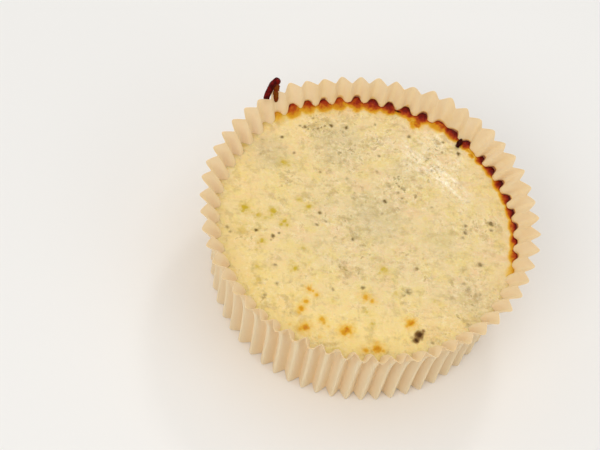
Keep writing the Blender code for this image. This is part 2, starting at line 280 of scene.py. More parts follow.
class Folds:
    """The pleats at any place round the case: pleat counts folds, whole numbers being outer folds."""

    def __init__(self):
        draws = np.random.default_rng(FOLD_SEED)
        self.turn = draws.uniform(-1.0, 1.0, 2 * PLEATS) * FOLD_STRAY
        self.reach = draws.uniform(-1.0, 1.0, 2 * PLEATS) * REACH_STRAY
        self.height = draws.uniform(-1.0, 1.0, 2 * PLEATS) * HEIGHT_STRAY
        self.half_folds = np.arange(2 * PLEATS) / 2.0
        self.centre = np.zeros(2)
        edge = self.place(np.linspace(0.0, PLEATS, 64 * PLEATS), CASE_HEIGHT, 0.0)[:, :2]
        self.centre = (edge.min(axis=0) + edge.max(axis=0)) / 2.0

    def between(self, values, pleat):
        """The values drawn for the outer and inner folds, in straight lines between them."""
        return np.interp(pleat, self.half_folds, values, period=PLEATS)

    @staticmethod
    def free(height):
        """0 up to the cake's top, where the batter holds the folds, then evenly up to 1 at the rim."""
        return np.clip((height - CAKE_TOP) / (CASE_HEIGHT - CAKE_TOP), 0.0, 1.0)

    def azimuth(self, pleat, height):
        """Even spacing, a slow drift of three waves and each fold's stray, then a lean up to the rim."""
        even = FIRST_FOLD + 360.0 / PLEATS * pleat
        drift = sum(size * np.cos(np.radians(waves * even - crest)) for waves, size, crest in DRIFT)
        beside_cake, at_rim = turns_at(pleat, CAKE_TURNS), turns_at(pleat, RIM_TURNS)
        lean = beside_cake + (at_rim - beside_cake) * self.free(height)
        return even + drift + self.between(self.turn, pleat) + lean

    def wave(self, pleat, height=CAKE_TOP):
        """+1 on an outer fold and -1 on an inner one.

        Its flanks are straight between two blunted corners, which are arcs of hyperbolas. About the cake's
        top it is a domed pocket instead, with each corner drawn in by its share.
        """
        phase = np.abs(pleat - np.round(pleat))
        within = 0.5 - (np.hypot(0.5 - phase, INNER_BLUNTNESS) - INNER_BLUNTNESS)
        start = 0.5 - (math.hypot(0.5, INNER_BLUNTNESS) - INNER_BLUNTNESS)
        fall = np.hypot(within - start, OUTER_BLUNTNESS) - OUTER_BLUNTNESS
        whole = math.hypot(0.5 - start, OUTER_BLUNTNESS) - OUTER_BLUNTNESS
        straight = 1.0 - 2.0 * fall / whole
        pocket = 1.0 - smooth_step(phase, *POCKET)
        outer = 1.0 - 2.0 * turns_at(np.round(pleat), POCKETS_SHUT)
        inner = 2.0 * turns_at(np.floor(pleat), FOLDS_SHORT) - 1.0
        domed = inner + (outer - inner) * pocket
        away = np.maximum(self.free(height), (CAKE_TOP - height) / POCKET_DEPTH)
        return domed + (straight - domed) * smooth_step(away)

    def radius(self, pleat, height, wave=None):
        """The paper's outer face: a flare by a power of the height, less the folds, corner and dent."""
        wave = self.wave(pleat, height) if wave is None else wave
        share = height / CASE_HEIGHT
        outer = BASE_RADIUS + (RIM_RADIUS - BASE_RADIUS) * share ** FLARE_POWER
        depth = BASE_DEPTH + (RIM_DEPTH - BASE_DEPTH) * share
        below = np.clip(1.0 - height / CORNER, 0.0, 1.0)
        corner = CORNER * (1.0 - np.sqrt(1.0 - below * below))
        away = np.abs((self.azimuth(pleat, CASE_HEIGHT) - DENT_MIDDLE + 180.0) % 360.0 - 180.0)
        dent = DENT_DEPTH * smooth_step(DENT_HALF_WIDTH - away, 0.0, DENT_FADE) * share ** DENT_POWER
        stray = self.between(self.reach, pleat) * share - dent
        return outer - depth * (1.0 - wave) / 2.0 - corner + stray

    def at(self, pleat, radius, height):
        """Points at that radius and height beside each pleat."""
        angle = np.radians(self.azimuth(pleat, height))
        x = radius * np.cos(angle) - self.centre[0]
        y = radius * np.sin(angle) - self.centre[1]
        return np.stack(np.broadcast_arrays(x, y, height), axis=-1)

    def place(self, pleat, height, inwards):
        """Points that far inside the paper's outer face."""
        return self.at(pleat, self.radius(pleat, height) - inwards, height)


FOLDS = Folds()


def make_object(name, points, faces, finish, sharp=60.0):
    """Puts arrays of points and of faces into a mesh and rides it on the body."""
    data = bpy.data.meshes.new(name)
    data.from_pydata(points.tolist(), [], faces)
    data.validate()
    data.shade_smooth()
    data.set_sharp_from_angle(angle=math.radians(sharp))
    data.materials.append(finish)
    piece = bpy.data.objects.new(name, data)
    bpy.context.scene.collection.objects.link(piece)
    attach(piece, "root")
    return piece


def add_attribute(piece, name, values):
    """Gives every point of a piece a number that its material reads by that name."""
    attribute = piece.data.attributes.new(name, "FLOAT", "POINT")
    attribute.data.foreach_set("value", np.asarray(values, np.float32).ravel())


def numbered(rows, columns):
    """The numbers of a grid's points, row by row."""
    return np.arange(rows * columns).reshape(rows, columns)


def grid_faces(index, closed=True, turned_over=False):
    """Four-sided faces between rows of numbered points; closed rows join their last point to their first."""
    after = np.roll(index, -1, axis=1)
    if not closed:
        index, after = index[:, :-1], after[:, :-1]
    quads = np.stack([index[:-1], after[:-1], after[1:], index[1:]], axis=-1).reshape(-1, 4)
    return quads[:, [0, 3, 2, 1]] if turned_over else quads


def fan_faces(ring, middle, upwards):
    """Triangles from a ring of points to one point in its middle."""
    after = np.roll(ring, -1)
    first, second = (ring, after) if upwards else (after, ring)
    return np.stack([first, second, np.full(len(ring), middle)], axis=-1)


# The camera
def camera_place():
    """The camera's place, once the case has been centred on the origin."""
    return CAMERA_PLACE - Vector((*FOLDS.centre, 0.0))


def camera_axes():
    """Right, up and back, from the place, the target and the roll."""
    ahead = (CAMERA_TARGET - CAMERA_PLACE).normalized()
    level_right = ahead.cross(Vector((0.0, 0.0, 1.0))).normalized()
    level_up = level_right.cross(ahead)
    right = level_right * math.cos(CAMERA_ROLL) + level_up * math.sin(CAMERA_ROLL)
    up = level_up * math.cos(CAMERA_ROLL) - level_right * math.sin(CAMERA_ROLL)
    return right, up, -ahead


def make_camera():
    right, up, back = camera_axes()
    data = bpy.data.cameras.new("camera")
    data.lens = CAMERA_LENS
    data.sensor_width = SENSOR_WIDTH
    data.clip_start = 0.01
    data.clip_end = 20.0
    camera = bpy.data.objects.new("camera", data)
    turn = Matrix((right, up, back)).transposed()
    camera.matrix_world = Matrix.Translation(camera_place()) @ turn.to_4x4()
    bpy.context.scene.collection.objects.link(camera)
    bpy.context.scene.camera = camera


def seen_at(pixel, height=CAKE_TOP - 0.5 * TOP_HOLLOW):
    """Where the camera's ray through a pixel of the photo meets that height."""
    right, up, back = camera_axes()
    focal = CAMERA_LENS / SENSOR_WIDTH * PHOTO_SIZE[0]
    across = (pixel[0] - PHOTO_SIZE[0] / 2.0) / focal
    down = (pixel[1] - PHOTO_SIZE[1] / 2.0) / focal
    ray = right * across - up * down - back
    reach = (height - CAMERA_PLACE.z) / ray.z
    return camera_place() + ray * reach


# A mark fades as exp(-fall * distance ** power), with the distance in radii, out to its reach
MARK_FALL = 1.6
MARK_POWER = 2.4
MARK_REACH = 2.5
RAGGED_LENGTH = 0.9 * MM


def scaled(spots, wider, stronger=1.0):
    """The same spots with their radii and strengths multiplied."""
    return [(x, y, radius * wider, strength * stronger) for x, y, radius, strength in spots]


def marks(x, y, spots, ragged, seed=5):
    """The strongest of several soft round marks, each with an edge that noise makes ragged."""
    strongest = np.zeros(x.shape)
    for pixel_x, pixel_y, radius, strength in spots:
        place = seen_at((pixel_x, pixel_y))
        radius = radius * MM
        near = np.hypot(x - place.x, y - place.y) < MARK_REACH * radius
        edge = ragged * radius
        bent_x = x[near] + edge * layered_noise(x[near], y[near], RAGGED_LENGTH, seed)
        bent_y = y[near] + edge * layered_noise(x[near], y[near], RAGGED_LENGTH, seed + 9)
        away = np.hypot(bent_x - place.x, bent_y - place.y) / radius
        faded = strength * np.exp(-MARK_FALL * away ** MARK_POWER)
        strongest[near] = np.maximum(strongest[near], faded)
    return strongest


# Materials
class Value:
    """A socket's output. Sums and products of numbers on it add Math nodes."""

    def __init__(self, finish, socket):
        self.finish = finish
        self.socket = socket

    def maths(self, operation, *others):
        sockets = dict(enumerate((self, *others)))
        return self.finish.node("ShaderNodeMath", {"operation": operation}, sockets)

    def __add__(self, other):
        return self.maths("ADD", other)

    __radd__ = __add__

    def __mul__(self, other):
        return self.maths("MULTIPLY", other)

    __rmul__ = __mul__

    def __sub__(self, other):
        return self.maths("SUBTRACT", other)

    def __rsub__(self, other):
        return (self * -1.0) + other

    def limited(self):
        return self.maths("MAXIMUM", 0.0).maths("MINIMUM", 1.0)

    def rises(self, low, high):
        """0 below low, 1 above high, smooth between."""
        settings = {"interpolation_type": "SMOOTHSTEP"}
        sockets = {"Value": self, "From Min": low, "From Max": high}
        return self.finish.node("ShaderNodeMapRange", settings, sockets)


class Finish:
    """A material being made: a Principled shader, and one method that adds every other node."""

    def __init__(self, name, **constants):
        self.material = bpy.data.materials.new(name)
        self.material.use_nodes = True
        self.tree = self.material.node_tree
        self.shader = self.tree.nodes["Principled BSDF"]
        self.coordinates = self.node("ShaderNodeTexCoord", {}, {}, "Object")
        for socket, value in constants.items():
            self.shader.inputs[socket.replace("_", " ")].default_value = value

    def node(self, kind, settings, sockets, output=0):
        """Adds a node, sets its settings and then its sockets, and gives one of its outputs."""
        made = self.tree.nodes.new(kind)
        for name, value in settings.items():
            if name == "stops":
                self.set_stops(made.color_ramp, value)
            else:
                setattr(made, name, value)
        for socket, value in sockets.items():
            self.feed(made.inputs[socket], value)
        return Value(self, made.outputs[output])

    def feed(self, socket, value):
        if isinstance(value, Value):
            self.tree.links.new(value.socket, socket)
        else:
            socket.default_value = value

    @staticmethod
    def set_stops(ramp, stops):
        """Sets a ramp's (position, colour) stops."""
        while len(ramp.elements) < len(stops):
            ramp.elements.new(1.0)
        for element, (position, tint) in zip(ramp.elements, stops):
            element.position = position
            element.color = (*tint, 1.0)

    def attribute(self, name):
        """The number that each point of the piece has by that name."""
        return self.node("ShaderNodeAttribute", {"attribute_name": name}, {}, "Fac")

    def stretched(self, stretch, turn=0.0):
        """Object coordinates, turned about Z and scaled along each axis."""
        sockets = {"Vector": self.coordinates, "Rotation": (0.0, 0.0, turn), "Scale": stretch}
        return self.node("ShaderNodeMapping", {"vector_type": "TEXTURE"}, sockets)

    def noise(self, length, detail=3.0, roughness=0.55, vector=None, distortion=0.0):
        """Soft noise from 0 to 1 whose features are about that many metres across."""
        sockets = {
            "Vector": self.coordinates if vector is None else vector,
            "Scale": 1.0 / length,
            "Detail": detail,
            "Roughness": roughness,
            "Distortion": distortion,
        }
        return self.node("ShaderNodeTexNoise", {}, sockets, "Fac")

    def mix(self, mask, below, above):
        """Colour below where the mask is 0 and above where it is 1."""
        below, above = ((*tint, 1.0) if isinstance(tint, tuple) else tint for tint in (below, above))
        settings = {"data_type": "RGBA", "clamp_factor": True}
        return self.node("ShaderNodeMix", settings, {0: mask, 6: below, 7: above}, 2)

    def over(self, base, *layers):
        """The base under layers of colour, each laid on where its mask is 1."""
        for mask, tint in layers:
            base = self.mix(mask, base, tint)
        return base

    def ramp(self, value, stops):
        return self.node("ShaderNodeValToRGB", {"stops": stops}, {"Fac": value}, "Color")

    def bump(self, height, distance, strength):
        sockets = {"Height": height, "Distance": distance, "Strength": strength}
        return self.node("ShaderNodeBump", {}, sockets, "Normal")

    def surface(self, **values):
        """Feeds the shader's sockets, and gives the finished material."""
        for socket, value in values.items():
            self.feed(self.shader.inputs[socket.replace("_", " ")], value)
        return self.material


def colour(red, green, blue):
    """A colour given in the photo's own 0 to 255 steps, as the linear values that shaders take."""
    shares = np.array([red, green, blue]) / 255.0
    linear = np.where(shares <= 0.04045, shares / 12.92, ((shares + 0.055) / 1.055) ** 2.4)
    return tuple(float(v) for v in linear)


# The batter's colours
CREAM = colour(230, 206, 152)
PEACH_CREAM = colour(232, 200, 152)
YELLOW_CREAM = colour(231, 207, 140)
# Painted light: a warmer, lighter cream laid on towards the left and the front
WARM_PAINTED_LIGHT_CREAM = colour(249, 221, 137)
# Painted highlight: the pale streaks of the sheen on the top
PAINTED_SHEEN_CREAM = colour(246, 232, 198)
GREY_CREAM = colour(204, 186, 142)
# Pale cream: painted glints on the batter, and lighter fibres on the paper
PALE_CREAM = colour(248, 230, 184)
SOFT_MARK = colour(168, 142, 90)
DARK_FLECK = colour(106, 82, 30)
OLIVE_YELLOW = colour(198, 168, 30)
SCORCH_PALE = colour(126, 88, 30)
SCORCH_DARK = colour(72, 40, 2)

# Which way its streaks, the marks across them and the sheen run
STREAK_TURN = math.radians(15.7)
CROSS_TURN = math.radians(112.0)
SHEEN_TURN = math.radians(-28.0)

# The paper's colours
PAPER_CREAM = colour(240, 211, 167)
PAPER_WARM = colour(238, 205, 157)
PAPER_TOAST = colour(238, 190, 126)
# Painted light on the outer face below the cake's top, lifting its shade
PAPER_OUTSIDE_PAINTED_LIGHT = colour(254, 226, 180)
STAIN_PALE = colour(226, 168, 84)
STAIN_DARK = colour(120, 22, 4)

# The crust's colour as it browns from 0 to 1
BROWNING = (
    (0.0, colour(234, 197, 94)),
    (0.20, colour(227, 176, 44)),
    (0.40, colour(208, 140, 14)),
    (0.54, colour(184, 84, 2)),
    (0.68, colour(150, 38, 0)),
    (0.82, colour(108, 8, 0)),
    (1.0, colour(74, 0, 0)),
)


def clouded_cream(finish, sheen):
    """Cream clouded with yellow, peach and grey, with warm painted light to the left and front, and painted
    sheen streaks.
    """
    clouds = finish.noise(6.2 * MM, 4.0, 0.62)
    tints = finish.noise(4.8 * MM, 3.0, 0.6, finish.stretched((1.5, 1.0, 1.0), STREAK_TURN))
    painted_sheen_streaks = finish.noise(1.7 * MM, 3.0, 0.55, finish.stretched((3.0, 1.0, 1.0), SHEEN_TURN))
    grey = (finish.attribute("grey") + (clouds - 0.5) * 0.9).rises(0.25, 0.95)
    return finish.over(
        CREAM,
        (clouds.rises(0.44, 0.60), YELLOW_CREAM),
        (tints.rises(0.50, 0.64) * 0.7, PEACH_CREAM),
        # painted light: warmer and lighter towards the left and the front
        (finish.attribute("warm"), WARM_PAINTED_LIGHT_CREAM),
        (grey * 0.62, GREY_CREAM),
        # painted highlight: pale streaks in the colour, along the band where the glow lamp reflects
        (painted_sheen_streaks.rises(0.46, 0.60) * sheen * 0.75, PAINTED_SHEEN_CREAM),
    )


def flecked(finish, base, patch, streaks, specked, dots):
    """Pale flecks, soft marks and dark dots with pale rims, denser in patches; the flecks and rims are
    painted glints.
    """
    fine = finish.noise(1.4 * MM, 2.0, 0.55)
    blotches = finish.noise(3.2 * MM, 4.0, 0.60)
    crossing = finish.noise(1.9 * MM, 2.0, 0.55, finish.stretched((2.0, 1.0, 1.0), CROSS_TURN))
    rims = specked.rises(0.52, 0.59) * (1.0 - specked.rises(0.59, 0.66))
    return finish.over(
        base,
        # painted highlight: pale flecks that stand for glints
        (fine.rises(0.50, 0.70) * (patch * 0.45 + 0.16), PALE_CREAM),
        (blotches.rises(0.50, 0.68) * (patch * 0.26 + 0.30), SOFT_MARK),
        (streaks.rises(0.53, 0.74) * (patch * 0.32 + 0.13), SOFT_MARK),
        (crossing.rises(0.55, 0.76) * (patch * 0.36 + 0.13), SOFT_MARK),
        # painted highlight: pale glints round the dark dots
        (rims * (patch * 0.4 + 0.06), PALE_CREAM),
        (dots, DARK_FLECK),
    )


def spotted(finish, base, ragged, speck, scorched):
    """Yellow spots, dark specks, the crack's painted shade and the scorched spot, each in its own place."""
    yellow = (finish.attribute("yellow") + ragged * 0.30).rises(0.0, 0.88)
    return finish.over(
        base,
        (yellow * 0.95, OLIVE_YELLOW),
        (speck, DARK_FLECK),
        (scorched.rises(0.06, 0.60) * 0.85, SCORCH_PALE),
        (scorched.rises(0.50, 0.95), SCORCH_DARK),
    )


def cake_finish():
    """Moist batter: clouded cream, flecked, then spotted, then browned. Its gloss is broken by dry marks."""
    finish = Finish(
        "baked_batter",
        Subsurface_Weight=0.25,
        Subsurface_Radius=(3.0 * MM, 1.8 * MM, 0.8 * MM),
        Subsurface_Scale=1.0,
        Specular_IOR_Level=0.12,
        Coat_Roughness=0.26,
    )
    # What several of the colours, the gloss and the relief share
    ragged = finish.noise(1.3 * MM, 3.0, 0.55) - 0.5
    streaks = finish.noise(1.9 * MM, 2.0, 0.55, finish.stretched((2.6, 1.0, 1.0), STREAK_TURN))
    specked = finish.noise(2.1 * MM, 2.0, 0.5, distortion=0.4)
    beads = finish.noise(1.6 * MM, 2.0, 0.5) - 0.5
    sheen = finish.attribute("sheen")
    chance = finish.noise(7.0 * MM, 2.0, 0.5).rises(0.42, 0.60)
    patch = (finish.attribute("flecked") * 0.8 + chance * 0.35).limited()
    dots = specked.rises(0.60, 0.76) * (patch * 0.52 + 0.06)
    speck = (finish.attribute("speck") + ragged * 0.35).rises(0.0, 1.05)
    scorched = finish.attribute("scorched") + ragged * 0.35

    base = clouded_cream(finish, sheen)
    base = flecked(finish, base, patch, streaks, specked, dots)
    base = spotted(finish, base, ragged, speck, scorched)

    # The crust
    brown = finish.attribute("brown")
    mask = (brown + ragged * 0.16).rises(0.0, 0.30)
    shade = brown + (ragged * 0.22 + beads * 0.45) * brown.rises(0.15, 0.5)
    base = finish.mix(mask, base, finish.ramp(shade, BROWNING))

    # Gloss and relief
    dull = finish.noise(1.6 * MM, 3.0, 0.6) * 0.30 + 0.36
    roughness = dull - brown.rises(0.4, 0.9) * 0.16
    wet = finish.noise(2.2 * MM, 3.0, 0.6).rises(0.50, 0.66) * 0.3 + sheen * 0.8 + 0.08
    wet = wet * (1.0 - brown.rises(0.2, 0.6) * 0.8) * (1.0 - speck) * (1.0 - scorched.rises(0.06, 0.60))
    grains = finish.noise(0.8 * MM, 3.0, 0.6) + finish.noise(2.1 * MM, 2.0, 0.5)
    relief = grains * (patch * 0.7 + sheen * 0.4 + 0.5) + streaks * 0.7 - dots * 0.6 + beads * brown * 2.5
    normal = finish.bump(relief, 0.36 * MM, 0.75)
    return finish.surface(Base_Color=base, Roughness=roughness, Coat_Weight=wet, Normal=normal)


def paper_finish():
    """Greaseproof paper: warm cream, clouded, toasted at the cut edge and stained just above the teeth.

    Its outer face below the cake's top is painted lighter and warmer: painted light that lifts the shade
    there.
    """
    finish = Finish(
        "baking_paper",
        Subsurface_Weight=0.3,
        Subsurface_Radius=(1.6 * MM, 1.3 * MM, 0.9 * MM),
        Subsurface_Scale=1.0,
        Specular_IOR_Level=0.12,
        Roughness=0.65,
    )
    clouds = finish.noise(6.0 * MM, 4.0, 0.55)
    fibres = finish.noise(0.55 * MM, 3.0, 0.6, finish.stretched((1.0, 1.0, 2.6)))
    toasted = (finish.attribute("toasted") + (clouds - 0.5) * 0.4).rises(0.30, 1.0)
    stained = finish.attribute("stain")
    stain_colour = finish.mix(stained.rises(0.45, 0.85), STAIN_PALE, STAIN_DARK)
    base = finish.over(
        PAPER_CREAM,
        (clouds.rises(0.35, 0.70), PAPER_WARM),
        (toasted * 0.45, PAPER_TOAST),
        # painted light: the outer face below the cake's top made lighter and warmer
        (finish.attribute("outside") * 0.8, PAPER_OUTSIDE_PAINTED_LIGHT),
        ((stained * (clouds * 0.2 + 0.9)).rises(0.06, 0.60) * 0.9, stain_colour),
        (fibres.rises(0.55, 0.75) * 0.10, PALE_CREAM),
    )
    relief = fibres * 0.35 + finish.noise(2.2 * MM, 3.0, 0.5)
    return finish.surface(Base_Color=base, Normal=finish.bump(relief, 0.12 * MM, 0.5))


def burnt_finish(name, dark, light, roughness):
    """Burnt sugar and batter: a hard gloss, blistered, lighter where it is thin."""
    finish = Finish(name, Coat_Weight=0.04, Coat_Roughness=0.1, Specular_IOR_Level=0.06)
    blisters = finish.noise(1.2 * MM, 3.0, 0.6)
    return finish.surface(
        Base_Color=finish.mix(blisters.rises(0.40, 0.68), dark, light),
        Roughness=blisters * 0.2 + roughness,
        Normal=finish.bump(blisters, 0.3 * MM, 0.6),
    )


# The cake
TOP_CELLS = 280
SIDE_ROWS = 18
CROWDING = 0.10
FLUTED_FROM = 0.86
DROP_POWER = 1.5

# Where the climb starts inside the folds, and over what length it rises, in millimetres
CLIMB_START = 0.4
CLIMB_LENGTH = 3.2


def top_height(x, y):
    """A dish by the square of the radius, plus long sine swells, noise wrinkles, creased ridges and pits."""
    draws = np.random.default_rng(SWELL_SEED)
    radius = np.hypot(x, y) / (BASE_RADIUS - BASE_DEPTH)
    height = CAKE_TOP - TOP_HOLLOW * (1.0 - np.minimum(radius, 1.0) ** 2)
    for _ in range(SWELLS):
        heading = draws.uniform(0.0, 2.0 * math.pi)
        length = draws.uniform(*SWELL_LENGTHS)
        start = draws.uniform(0.0, 2.0 * math.pi)
        along = x * math.cos(heading) + y * math.sin(heading)
        height = height + TOP_SWELL * np.sin(2.0 * math.pi * along / length + start)
    height = height + WRINKLES[0] * MM * layered_noise(x, y, WRINKLES[1] * MM, seed=71, fade=0.6)
    cosine, sine = RIDGE_TURN
    drawn_out = (cosine * x - sine * y) / RIDGE_STRETCH
    across = sine * x + cosine * y
    creases = np.abs(layered_noise(drawn_out, across, RIDGES[1] * MM, seed=83, layers=2, fade=0.6))
    height = height + RIDGES[0] * MM * (1.0 - creases * 2.0)
    return height + PITS[0] * MM * lattice_noise(x, y, PITS[1] * MM, seed=97)


def by_pleat(column, pleat):
    """A column of the teeth's table at any place, blended from pleat to pleat over the inner folds."""
    values = np.array([TEETH.get(number, PLAIN_TOOTH)[column] for number in range(PLEATS)])
    before = np.floor(pleat).astype(int)
    blend = smooth_step(pleat - before, 0.35, 0.65)
    return values[before % PLEATS] * (1.0 - blend) + values[(before + 1) % PLEATS] * blend


def between_folds(pleat):
    """0 in the middle of each outer fold to 1 on the inner folds beside it."""
    return (2.0 * (pleat - np.round(pleat))) ** 2


def past_folds(pleat, radius):
    """How far a place lies beyond the line that joins the inner folds, in millimetres."""
    return (radius - FOLDS.radius(pleat, CAKE_TOP, wave=-1.0) + CAKE_INSET) / MM


def climb(pleat, radius):
    """How far the batter has climbed the paper: most in the middle of a fold, and against the paper."""
    share = np.clip((past_folds(pleat, radius) + CLIMB_START) / CLIMB_LENGTH, 0.0, 1.0)
    rise = np.sin(0.5 * math.pi * share)
    return by_pleat(1, pleat) * MM * rise * (1.0 - 0.5 * between_folds(pleat))


def edge_of_top(pleat):
    """The height and the radius at which the top meets the paper: each pass corrects one by the other."""
    height = np.full(pleat.shape, CAKE_TOP)
    for _ in range(3):
        radius = FOLDS.radius(pleat, height) - CAKE_INSET
        edge = FOLDS.at(pleat, radius, height)
        height = top_height(edge[..., 0], edge[..., 1]) + climb(pleat, radius)
    return height, radius


def browning(pleat, radius, edge_radius):
    """0 on pale batter to 1 on burnt: it deepens out through each fold, and starts later at its sides."""
    between = between_folds(pleat)
    start, length = turns_at(pleat, BROWN_START), turns_at(pleat, BROWN_LENGTH)
    reach = past_folds(pleat, radius) + start - turns_at(pleat, BROWN_PINCH) * between
    depth = np.interp(reach / length, BROWN_SHARES, BROWN_DEPTHS)
    against_paper = smooth_step(radius, edge_radius - 0.5 * MM, edge_radius) * (1.0 - between)
    return by_pleat(0, pleat) * depth * (1.0 + BROWN_EDGE * against_paper)


def square_to_disc(cells):
    """Maps a square grid to a disc, ring by ring: the distance out from 0 to 1, and the pleat count."""
    side = np.linspace(-1.0, 1.0, cells + 1)
    u, v = np.meshgrid(side, side)
    wide = np.abs(u) > np.abs(v)
    longer = np.where(wide, u, v)
    safe = np.where(longer == 0.0, 1.0, longer)
    quarter = math.pi / 4.0
    angle = np.where(wide, quarter * v / safe, 2.0 * quarter - quarter * u / safe)
    angle = np.where(longer < 0.0, angle + math.pi, angle)
    return np.abs(longer).ravel(), (angle.ravel() / (2.0 * math.pi) * PLEATS) % PLEATS


def marks_on_top(x, y, pleat, radius, edge_radius):
    """What the cake's material reads at each point of the top, by name."""
    wander = BROWN_WANDER[0] * MM * layered_noise(x, y, BROWN_WANDER[1] * MM, seed=131)
    teeth = browning(pleat, radius + wander, edge_radius)
    orange_cores = marks(x, y, scaled(ORANGE_SPOTS, 1.25), 0.3)
    orange_halos = marks(x, y, scaled(ORANGE_SPOTS, 2.4, 0.52), 0.35, seed=8)
    orange = 0.48 * np.maximum(orange_cores, orange_halos)
    amber = marks(x, y, AMBER_BLOBS, 0.5) * (1.0 - smooth_step(past_folds(pleat, radius)))
    yellow_halos = marks(x, y, scaled(YELLOW_SPOTS, 2.2, 0.46), 0.4, seed=17)
    # Painted light: the top grows warmer and lighter towards the left and the front
    to_the_left = smooth_step(-x, 0.005, 0.05)
    to_the_front = smooth_step(-y, 0.01, 0.05)
    return {
        "brown": np.maximum.reduce([teeth, orange, amber]),
        "yellow": np.maximum(marks(x, y, YELLOW_SPOTS, 0.5), yellow_halos),
        # the dark specks, and the crack drawn as a dark line of painted shade
        "speck": np.maximum(marks(x, y, SPECKS, 0.5, seed=12), marks(x, y, CRACK_SHADE, 0.6, seed=15)),
        "scorched": marks(x, y, DARK_SPOTS, 0.3),
        "flecked": marks(x, y, FLECKED_PATCHES, 0.5, seed=21),
        "sheen": marks(x, y, SHEEN_PATCHES, 0.5, seed=33),
        "grey": marks(x, y, GREY_PATCHES, 0.3, seed=41),
        "warm": to_the_left * 0.30 + to_the_front * 0.65,
    }


def make_cake():
    """The top is a square grid mapped to the fluted disc, with its cells crowded towards the edge.

    Rows below it follow the paper down to a flat base.
    """
    out, pleat = square_to_disc(TOP_CELLS)
    out = out + CROWDING * np.sin(math.pi * out)
    edge_height, edge_radius = edge_of_top(pleat)
    mean = BASE_RADIUS - 0.5 * BASE_DEPTH
    radius = out * mean + (edge_radius - mean) * smooth_step(out, FLUTED_FROM, 1.0)
    flat = FOLDS.at(pleat, radius, edge_height)
    x, y = flat[:, 0], flat[:, 1]
    height = top_height(x, y) + climb(pleat, radius)

    ring = np.flatnonzero(out > 1.0 - 1e-9)
    ring = ring[np.argsort(pleat[ring])]
    rows = [np.column_stack([x, y, height])]
    for row in range(1, SIDE_ROWS + 1):
        drop = (row / SIDE_ROWS) ** DROP_POWER
        row_height = height[ring] + (CAKE_BOTTOM - height[ring]) * drop
        rows.append(FOLDS.place(pleat[ring], row_height, CAKE_INSET))
    rows.append(np.array([[0.0, 0.0, CAKE_BOTTOM]]))
    points = np.concatenate(rows)

    side = np.vstack([ring, len(out) + numbered(SIDE_ROWS, len(ring))])
    faces = grid_faces(numbered(TOP_CELLS + 1, TOP_CELLS + 1), closed=False).tolist()
    faces += grid_faces(side, turned_over=True).tolist()
    faces += fan_faces(side[-1], len(points) - 1, False).tolist()

    cake = make_object("cheesecake_baked", points, faces, cake_finish())
    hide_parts("cheesecake")
    # The side below the top takes a little browning and a little of the painted light
    below_top = {"brown": 0.1, "warm": 0.3}
    for name, values in marks_on_top(x, y, pleat, radius, edge_radius).items():
        rest = np.full(len(points) - len(out), below_top.get(name, 0.0))
        add_attribute(cake, name, np.concatenate([values, rest]))


# The paper case
PAPER_COLUMNS = 20 * PLEATS
WALL_ROWS = 34
FLOOR_SHARES = (0.30, 0.55, 0.72, 0.84, 0.93, 0.98)
CREASE = 0.12 * MM
CUT_WAVE = 0.12 * MM
CUT_WAVES = 41.0
CRINKLE = 0.16 * MM
CRINKLE_LENGTH = 3.1 * MM
CRINKLE_FADE = 4.0 * MM
STAIN_PINCH = 0.72
TOASTED_DEPTH = 2.6 * MM


def paper_rows(inner):
    """Rows of the paper's outer or inner face, from near its middle out over the floor and up to the rim.

    The floor's creases fade inwards, the cut edge is a low sine wave, and noise crinkles the wall above
    the cake. The wall's lowest rows lie closer together, for the rounded corner at its foot.
    """
    pleat = np.arange(PAPER_COLUMNS) / PAPER_COLUMNS * PLEATS
    wave = FOLDS.wave(pleat)
    around = BASE_RADIUS * np.radians(FOLDS.azimuth(pleat, CAKE_TOP))
    inwards = PAPER if inner else 0.0
    rows = []
    for share in FLOOR_SHARES:
        crease = CREASE * (0.5 - 0.5 * wave) * smooth_step(share, 0.75, 1.0)
        radius = FOLDS.radius(pleat, 0.0, wave * smooth_step(share, 0.5, 1.0)) - inwards
        rows.append(FOLDS.at(pleat, share * radius, inwards + crease))
    cut = CUT_WAVE * np.sin(CUT_WAVES * around / BASE_RADIUS)
    top = CASE_HEIGHT + FOLDS.between(FOLDS.height, pleat) + cut
    for share in np.linspace(0.0, 1.0, WALL_ROWS):
        rise = share ** 1.25 if share < 0.2 else share
        height = inwards + (top - inwards) * rise
        crinkle = layered_noise(around, height * 0.45, CRINKLE_LENGTH, seed=211)
        bulge = crinkle * CRINKLE * smooth_step(height, CAKE_TOP, CAKE_TOP + CRINKLE_FADE)
        rows.append(FOLDS.place(pleat, height, inwards - bulge))
    return pleat, rows


